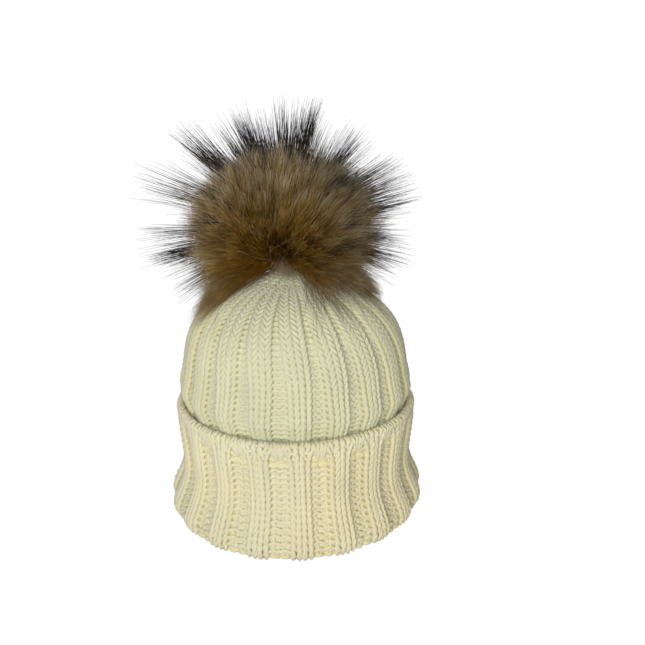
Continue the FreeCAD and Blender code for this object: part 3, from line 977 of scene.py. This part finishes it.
def make_stitches(name, body, middle_z, replaces, look):
    """Four groups of thread loops through a flange's sewing holes and over its rim."""
    shape = Build()
    near, far, rise = 6.9 * MM, 8.3 * MM, 0.7 * MM
    a = np.arange(40) * TAU / 40
    across, up = np.cos(a), np.sin(a)
    r = (near + far) / 2 + ((far - near) / 2 + rise) * np.sign(across) * np.abs(across) ** 0.8
    for k in range(4):
        turn = math.pi / 4 + k * math.pi / 2
        for lane in (-0.42, 0.0, 0.42):
            z = middle_z + (rise + 0.04 * MM * lane) * np.sign(up) * np.abs(up) ** 0.6
            x = r * math.cos(turn) - lane * MM * math.sin(turn)
            y = r * math.sin(turn) + lane * MM * math.cos(turn)
            shape.yarn(np.stack([x, y, z], 1), 0.24 * MM, 1.2, closed=True, sides=5)
    return shape.piece(name, body, "thread", replaces, look)


def make_base(leather, thread):
    """The leather disc that closes the pom's underside, and the stitches round its rim."""
    def warp(a, r, z):
        rise = 0.08 * MM * np.sin(3 * a) * (r > 9 * MM)
        return r * (1 + 0.006 * np.sin(5 * a) + 0.004 * np.sin(11 * a)), z + rise
    shape = Build()
    shape.turned(rounded(4.9 * MM, 13.0 * MM, BASE_LOW, BASE_HIGH, 0.45 * MM), 120, warp)
    base = shape.piece("pom_base_leather", "pom", "pom_base", "pom_base", leather)
    sewing = Build()
    t = np.linspace(0, math.pi, 14)
    r = (11.6 + 0.81 * (1 - np.cos(t))) * MM
    for k in range(22):
        path = polar(r, k * TAU / 22, BASE_LOW + 0.05 * MM - 0.35 * MM * np.sin(t))
        sewing.yarn(path, 0.26 * MM, 1.1, sides=5)
    sewing.piece("pom_base_stitches", "pom", "thread", None, thread)
    return base


BAG_RADIUS, BAG_MIDDLE = 23.0 * MM, 0.2144
BAG_MOUTH = 0.19275


def pelt_section(scale, low):
    """The bag's outline at a scale, as radius and height, for the part above a level."""
    shape = ((0.40, -0.93), (0.68, -0.84), (0.87, -0.68), (0.97, -0.40), (1.00, -0.06), (0.96, 0.24),
             (0.86, 0.50), (0.69, 0.72), (0.48, 0.86), (0.25, 0.95), (0.01, 0.98))
    size = BAG_RADIUS * scale
    return [(r * size, BAG_MIDDLE + h * size) for r, h in shape if h > low]


def pleated(a, r, z):
    """Gathers that run up from the drawn mouth."""
    pleat = np.sin(17 * a + 1.2 * np.sin(3 * a)) * smooth(0.212, 0.193, z)
    return r * (1 + 0.055 * pleat + 0.015 * np.sin(4 * a + z * 300)), z + 0.5 * MM * pleat


def make_pelt(look):
    """The skin side of the fur, a pleated bag with a wall of even thickness."""
    shape = Build()
    shape.turned(pelt_section(1.0, -1) + pelt_section(0.948, -1)[::-1], 144, pleated)
    return shape.piece("pelt_leather_side", "pom", "pelt", "pelt_skin", look)


def make_stuffing(look):
    """The lumpy filling of the bag, with a hollow above the socket."""
    def lumps(a, r, z):
        lump = 0.05 * np.sin(5 * a + z * 500) * np.sin(z * 700 + 1) + 0.03 * np.sin(11 * a - z * 900)
        return r * (1 + lump), z
    shape = Build()
    outside = [(0.008, 0.1946), (0.008, 0.1968)] + pelt_section(0.90, -0.84)
    hollow = [(0.0001, 0.2200), (0.0001, 0.1968), (0.0079, 0.1967)]
    shape.turned(outside + hollow, 96, lumps)
    piece = shape.piece("stuffing_fibre", "pom", "stuffing", "pom_stuffing", look)
    return piece


def make_drawstring(look):
    """The thread that gathers the pelt's mouth."""
    shape = Build()
    shape.yarn(ring_path(6.6 * MM, BAG_MOUTH, 17, 0.25 * MM, 0.15 * MM), 0.62 * MM, 0.5, closed=True)
    return shape.piece("pelt_drawstring", "pom", "thread", "pelt_gather_thread", look)


def make_label(look, thread):
    """A blank satin label, folded double, sewn by its two ends into the back seam."""
    front, back, top, bottom, wide = 0.07548, 0.07602, 0.0620, 0.0243, 0.0250
    thick = 0.10 * MM
    turn = (back - front) / 2
    line = [(front, z) for z in np.linspace(top, bottom, 24)]
    line += [(front + turn - turn * math.cos(a), bottom - turn * math.sin(a))
             for a in np.linspace(0.3, math.pi - 0.3, 8)]
    line = np.array(line + [(back, z) for z in np.linspace(bottom, top, 24)])
    along = unit(np.gradient(line, axis=0))
    out = np.stack([-along[:, 1], along[:, 0]], 1) * thick / 2
    y, z = np.vstack([line + out, (line - out)[::-1]]).T
    x = np.linspace(-wide / 2, wide / 2, 26)[:, None]
    y = y - 0.5 * MM * (np.abs(x) / (wide / 2)) ** 3 * smooth(0.045, 0.024, z)
    verts = np.stack(np.broadcast_arrays(x, y, z), -1)
    grid = np.arange(y.size).reshape(y.shape)
    caps = []
    for row, flip in ((grid[0], False), (grid[-1], True)):
        for i in range(len(z) // 2 - 1):
            quad = [row[i], row[-1 - i], row[-2 - i], row[i + 1]]
            caps.append(quad[::-1] if flip else quad)
    shape = Build()
    shape.add(verts.reshape(-1, 3), grid_quads(grid), caps)
    piece = shape.piece("care_label_satin", "label", "label", "care_label", look)
    sewing = Build()
    t = np.linspace(0, math.pi, 12)
    for middle in np.arange(-3, 4) * 3.5 * MM:
        path = np.stack([middle - 1.0 * MM * np.cos(t), front - 0.30 * MM * np.sin(t),
                         np.full(12, top - 1.6 * MM)], 1)
        sewing.yarn(path, 0.16 * MM, 1.2, sides=5)
    sewing.piece("care_label_stitches", "label", "thread", None, thread)
    return piece


# ---------------------------------------------------------------- materials


class Shader:
    """A material's nodes, with short ways to add and join them."""

    def __init__(self, name, color=(0.5, 0.5, 0.5), roughness=0.8, **values):
        self.material = bpy.data.materials.new(name)
        self.material.use_nodes = True
        self.tree = self.material.node_tree
        self.surface = self.tree.nodes["Principled BSDF"]
        self.surface.inputs["Base Color"].default_value = (*color, 1)
        self.surface.inputs["Roughness"].default_value = roughness
        for key, value in values.items():
            self.surface.inputs[key.replace("_", " ")].default_value = value

    def node(self, kind, **fields):
        made = self.tree.nodes.new("ShaderNode" + kind)
        for key, value in fields.items():
            setattr(made, key, value)
        return made

    def join(self, source, target):
        self.tree.links.new(source, target)

    def feed(self, socket, value):
        """Sets a socket to a number or a colour, or joins another node's output to it."""
        if isinstance(value, (int, float)):
            socket.default_value = value
        elif isinstance(value, tuple):
            socket.default_value = (*value, 1)
        else:
            self.join(value, socket)

    def math(self, operation, *values):
        made = self.node("Math", operation=operation)
        for socket, value in zip(made.inputs, values):
            self.feed(socket, value)
        return made.outputs[0]

    def ramp(self, factor, stops):
        made = self.node("ValToRGB")
        band = made.color_ramp
        while len(band.elements) < len(stops):
            band.elements.new(0.5)
        for element, (place, color) in zip(band.elements, stops):
            element.position = place
            element.color = (*color, 1)
        self.join(factor, made.inputs[0])
        return made.outputs[0]

    def mix(self, factor, a, b, blend="MIX"):
        made = self.node("Mix", data_type="RGBA", blend_type=blend)
        for index, value in ((0, factor), (6, a), (7, b)):
            self.feed(made.inputs[index], value)
        return made.outputs[2]

    def where(self):
        """A place in the object's own coordinates."""
        return self.node("TexCoord").outputs["Object"]

    def noise(self, scale, detail=3.0, rough=0.5, distortion=0.0):
        made = self.node("TexNoise")
        for name, value in (("Scale", scale), ("Detail", detail), ("Roughness", rough),
                            ("Distortion", distortion)):
            self.feed(made.inputs[name], value)
        self.join(self.where(), made.inputs["Vector"])
        return made.outputs["Fac"]

    def parts(self, vector):
        split = self.node("SeparateXYZ")
        self.join(vector, split.inputs[0])
        return split.outputs

    def uv(self):
        return self.parts(self.node("UVMap", uv_map="OFBake").outputs[0])[:2]

    def color(self, source):
        self.join(source, self.surface.inputs["Base Color"])

    def bump(self, height, distance, strength=1.0):
        made = self.node("Bump")
        made.inputs["Strength"].default_value = strength
        made.inputs["Distance"].default_value = distance
        self.join(height, made.inputs["Height"])
        self.join(made.outputs[0], self.surface.inputs["Normal"])


def shaded(color, share):
    return tuple(c * share for c in color)


def wool_with_shade(name, rows, front, back, warm):
    """Soft two-ply yarn: pale where it faces out, and painted deeper and yellower on its side turned
    away, as painted shade for the gaps between the stitches.
    """
    s = Shader(name, roughness=0.92, Sheen_Weight=0.25, Sheen_Roughness=0.6)
    u, v = s.uv()
    turn = s.math("MULTIPLY", s.math("FRACT", s.math("MULTIPLY", v, float(rows))), TAU)
    facing = s.math("MULTIPLY_ADD", s.math("COSINE", turn), 0.5, 0.5)
    # back is painted shade: the side of the yarn turned from the face is deeper and yellower, as the
    # light down between the stitches is
    part_shade = tuple((2 * b + f) / 3 for b, f in zip(back, front))
    tone = s.ramp(facing, ((0.0, back), (0.45, part_shade), (0.95, front)))
    blotch = s.ramp(s.noise(28.0, 4.0, 0.6), ((0.35, (0.93, 0.93, 0.93)), (0.65, (1.0, 1.0, 1.0))))
    tone = s.mix(1.0, tone, blotch, "MULTIPLY")
    drift = s.ramp(s.noise(9.0, 2.0), ((0.4, (1.0, 1.0, 1.0)), (0.62, warm)))
    s.color(s.mix(1.0, tone, drift, "MULTIPLY"))
    twist = s.math("ADD", s.math("MULTIPLY", u, TAU * 300), s.math("MULTIPLY", turn, 2.0))
    ply = s.math("SINE", twist)
    fibre = s.math("MULTIPLY", s.noise(2600.0, 3.0, 0.7), 1.4)
    s.bump(s.math("ADD", s.math("MULTIPLY", ply, 0.5), fibre), 0.00022, 0.9)
    return s.material


def fur_material(name, tone_stops, tip_stops, roughness):
    """Hair coloured along its length, and lighter or darker from one hair to the next."""
    s = Shader(name, roughness=roughness, Specular_IOR_Level=0.12)
    along, tone = s.uv()
    s.color(s.mix(1.0, s.ramp(tone, tone_stops), s.ramp(along, tip_stops), "MULTIPLY"))
    return s.material


def fibre_look(name, stops, color_noise, relief_noise, height, strength=1.0, **values):
    """Loose or spun fibre: one noise varies its colour, and a finer one its relief."""
    s = Shader(name, **values)
    s.color(s.ramp(s.noise(*color_noise), stops))
    s.bump(s.noise(*relief_noise), height, strength)
    return s.material


# Yarn that faces out, painted shade for yarn turned away, and the tint of its warmer patches.
WOOL_AND_SHADE = {"cuff": ((0.785, 0.74, 0.51), (0.79, 0.715, 0.38), (1.0, 0.97, 0.91)),
         "hat": ((0.70, 0.69, 0.475), (0.75, 0.68, 0.30), (1.0, 0.985, 0.93))}
# The loose fibres' deep yellow is partly their own colour and partly painted shade for the gaps
# between the stitches.
LOOSE_WOOL_AND_SHADE = (0.74, 0.67, 0.33)
for piece, rows, body in knit_pieces:
    piece.data.materials.append(wool_with_shade(piece.name + "_wool", rows, *WOOL_AND_SHADE[body]))
for piece, body in fuzz_and_shade:
    piece.data.materials.append(
        fibre_look(piece.name + "_fibre", ((0.3, shaded(LOOSE_WOOL_AND_SHADE, 0.75)), (0.7, LOOSE_WOOL_AND_SHADE)),
                   (900.0,), (2400.0,), 0.0003, roughness=0.95))

soft_fur = fur_material(
    "soft_fur",
    ((0.0, (0.95, 0.68, 0.13)), (0.22, (0.88, 0.68, 0.22)), (0.34, (0.44, 0.36, 0.28)),
     (0.62, (0.95, 0.92, 0.86)), (1.0, (1.6, 1.68, 1.78))),
    ((0.0, (0.10, 0.042, 0.003)), (0.30, (0.19, 0.088, 0.006)), (0.5, (0.20, 0.104, 0.012)),
     (0.70, (0.185, 0.104, 0.022)), (0.87, (0.23, 0.16, 0.066)), (1.0, (0.44, 0.37, 0.25))),
    0.7)
pale_fur = fur_material(
    "pale_fur",
    ((0.0, (0.8, 0.8, 0.8)), (1.0, (1.2, 1.2, 1.2))),
    ((0.0, (0.26, 0.18, 0.08)), (0.4, (0.36, 0.27, 0.15)), (1.0, (0.46, 0.38, 0.25))),
    0.6)
dark_fur = fur_material(
    "dark_fur",
    ((0.0, (0.9, 0.9, 0.9)), (1.0, (1.0, 1.0, 1.0))),
    ((0.0, (0.22, 0.13, 0.04)), (0.50, (0.28, 0.20, 0.11)), (0.64, (0.19, 0.14, 0.082)),
     (0.76, (0.028, 0.024, 0.023)), (1.0, (0.018, 0.016, 0.020))),
    0.5)
for pieces, look in ((underfur, soft_fur), (pale_hair, pale_fur), (dark_hair, dark_fur)):
    for piece in pieces:
        piece.data.materials.append(look)


def yarn_look(name, color, dark, scale=2600.0):
    """Spun wool or cotton: fine fibres and a little unevenness."""
    return fibre_look(name, ((0.3, dark), (0.68, color)), (scale * 0.35, 4.0, 0.65), (scale, 3.0, 0.7),
                      0.0001, 0.8, roughness=0.9, Sheen_Weight=0.2)


def leather_look(name, color, dark, grain=1400.0):
    """Tanned skin: pores, soft blotches and a low gloss."""
    s = Shader(name, roughness=0.62)
    s.color(s.ramp(s.noise(180.0, 4.0, 0.6), ((0.3, dark), (0.7, color))))
    pores = s.node("TexVoronoi", feature="DISTANCE_TO_EDGE")
    pores.inputs["Scale"].default_value = grain
    s.join(s.where(), pores.inputs["Vector"])
    edges = s.math("MINIMUM", pores.outputs["Distance"], 0.12)
    s.bump(s.math("ADD", edges, s.math("MULTIPLY", s.noise(500.0), 0.3)), 0.0004, 0.7)
    return s.material


def satin_look():
    """Woven satin: fine floats across the ribbon, with a soft gloss."""
    s = Shader("label_satin", roughness=0.38, Sheen_Weight=0.15)
    x, _, z = s.parts(s.where())
    warp = s.math("SINE", s.math("MULTIPLY", x, TAU * 4200))
    weft = s.math("SINE", s.math("MULTIPLY", z, TAU * 2800))
    weave = s.math("MULTIPLY", warp, weft)
    s.color(s.ramp(s.math("MULTIPLY_ADD", weave, 0.5, 0.5),
                   ((0.2, (0.80, 0.79, 0.75)), (0.8, (0.90, 0.89, 0.86)))))
    s.bump(weave, 0.00005, 0.6)
    return s.material


def metal_look(name, color, roughness, stretch):
    """Bright metal with the fine marks of turning, running round the axis."""
    s = Shader(name, color, roughness, Metallic=1.0)
    x, y, z = s.parts(s.where())
    radius = s.math("SQRT", s.math("ADD", s.math("POWER", x, 2.0), s.math("POWER", y, 2.0)))
    rings = s.node("TexNoise")
    rings.inputs["Scale"].default_value = 1.0
    place = s.node("CombineXYZ")
    s.join(s.math("MULTIPLY", radius, stretch), place.inputs[0])
    s.join(s.math("MULTIPLY", z, stretch), place.inputs[1])
    s.join(place.outputs[0], rings.inputs["Vector"])
    s.color(s.ramp(s.noise(700.0), ((0.35, shaded(color, 0.86)), (0.7, color))))
    s.bump(rings.outputs["Fac"], 0.00004, 0.5)
    return s.material


felt = fibre_look("cream_felt", ((0.3, (0.50, 0.45, 0.32)), (0.7, (0.72, 0.67, 0.50))),
                  (1500.0, 5.0, 0.7, 1.5), (2200.0, 5.0, 0.75, 2.0), 0.0004,
                  roughness=0.96, Sheen_Weight=0.3)
polyester = fibre_look("polyester_fibre", ((0.3, (0.70, 0.70, 0.69)), (0.65, (0.88, 0.88, 0.87))),
                       (600.0, 5.0, 0.7, 2.5), (900.0, 5.0, 0.7, 3.0), 0.0008,
                       roughness=0.85, Sheen_Weight=0.4)
seam_yarn = yarn_look("seam_yarn_wool", (0.74, 0.69, 0.45), (0.58, 0.50, 0.26))
cream_thread = yarn_look("cream_thread", (0.66, 0.61, 0.44), (0.48, 0.42, 0.26), 5000.0)
brown_thread = yarn_look("brown_thread", (0.16, 0.10, 0.055), (0.09, 0.055, 0.03), 5000.0)
suede = leather_look("tan_suede", (0.42, 0.28, 0.15), (0.30, 0.19, 0.10))
hide = leather_look("pelt_hide", (0.20, 0.125, 0.055), (0.12, 0.07, 0.03), 1100.0)
seam("back_seam_yarn", "hat", seam_yarn, bins=70, pivot_z=0.03, pitch=5.2 * MM, swing=1.5 * MM,
     radius=0.95 * MM)
seam("cuff_seam_yarn", "cuff", seam_yarn, bins=12, pivot_z=-0.10, pitch=4.0 * MM, swing=1.0 * MM,
     radius=0.65 * MM)
make_gather_yarn(seam_yarn)
make_backing(felt)
make_shank(cream_thread)
make_stitches("stud_stitches_sewn", "stud", STUD_FLANGE, "stud_stitches", cream_thread)
make_stitches("socket_stitches_sewn", "pom", SOCKET_FLANGE, "socket_stitches", brown_thread)
make_base(suede, brown_thread)
make_pelt(hide)
make_stuffing(polyester)
make_drawstring(brown_thread)
make_label(satin_look(), cream_thread)
steel = metal_look("bright_steel", (0.62, 0.61, 0.59), 0.28, 9000.0)
brass = metal_look("spring_brass", (0.70, 0.52, 0.24), 0.32, 9000.0)
for node, look in (("press_stud", steel), ("press_socket", steel), ("socket_spring_ring", brass)):
    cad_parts[node].material_slots[0].material = look

# ---------------------------------------------------------------- stage


def seen_level(tree, as_light, socket):
    """White where the lens sees it, and softer as a source of light."""
    level = tree.nodes.new("ShaderNodeMapRange")
    level.inputs["To Min"].default_value = as_light
    ray = tree.nodes.new("ShaderNodeLightPath")
    tree.links.new(ray.outputs["Is Camera Ray"], level.inputs["Value"])
    tree.links.new(level.outputs[0], socket)


FLOOR_LIGHT = 0.38
SKY_LIGHT = 0.13
LAMPS = (("key", (-0.13, -0.90, 0.40), 0.58, 8.2),      # name, place, size and power
         ("back", (0.06, 1.10, 0.50), 0.6, 11.0))
LAMP_AIM = Vector((0, 0, 0.12))


def stage():
    """A white surround, light from below and two soft lamps."""
    bpy.ops.mesh.primitive_plane_add(size=12, location=(0, 0, 0))
    floor = bpy.context.object
    floor.name = "floor"
    paper = Shader("floor_paper", (0.0, 0.0, 0.0), 1.0, Emission_Color=(1, 1, 1, 1),
                   Emission_Strength=FLOOR_LIGHT, Specular_IOR_Level=0.0)
    # the paper only sends light up: the backdrop behind it is the same white, and a cuff that
    # is turned down reaches below it
    floor.visible_camera = False
    floor.visible_shadow = False
    floor.data.materials.append(paper.material)
    world = bpy.data.worlds.new("studio")
    bpy.context.scene.world = world
    world.use_nodes = True
    sky = world.node_tree.nodes["Background"]
    sky.inputs[0].default_value = (1, 1, 1, 1)
    seen_level(world.node_tree, SKY_LIGHT, sky.inputs[1])
    for name, place, size, power in LAMPS:
        light = bpy.data.lights.new(name, "AREA")
        light.size = size
        light.energy = power
        lamp = bpy.data.objects.new(name, light)
        lamp.location = place
        lamp.rotation_euler = (LAMP_AIM - lamp.location).to_track_quat("-Z", "Y").to_euler()
        bpy.context.scene.collection.objects.link(lamp)


LENS_AWAY, LENS_AIM = 0.520, 0.060      # from the hat's axis, at the height that it circles
LENS_DROP = VIEW_RISE - math.radians(8.526475)
LENS_TURN = math.radians(-2.490314)
LENS_LENGTH = 36.446512                 # millimetres, for a 36 mm sensor


def camera():
    """The lens looks down at the hat from in front, and the hat stands left of the view's middle."""
    data = bpy.data.cameras.new("camera")
    cam = bpy.data.objects.new("camera", data)
    bpy.context.scene.collection.objects.link(cam)
    cam.location = (0, -LENS_AWAY * math.cos(VIEW_RISE), LENS_AIM + LENS_AWAY * math.sin(VIEW_RISE))
    cam.rotation_euler = (math.pi / 2 - LENS_DROP, 0, LENS_TURN)
    data.sensor_width = 36
    data.lens = LENS_LENGTH
    data.clip_start = 0.01
    bpy.context.scene.camera = cam


stage()
camera()
bpy.context.scene.view_settings.view_transform = "Standard"
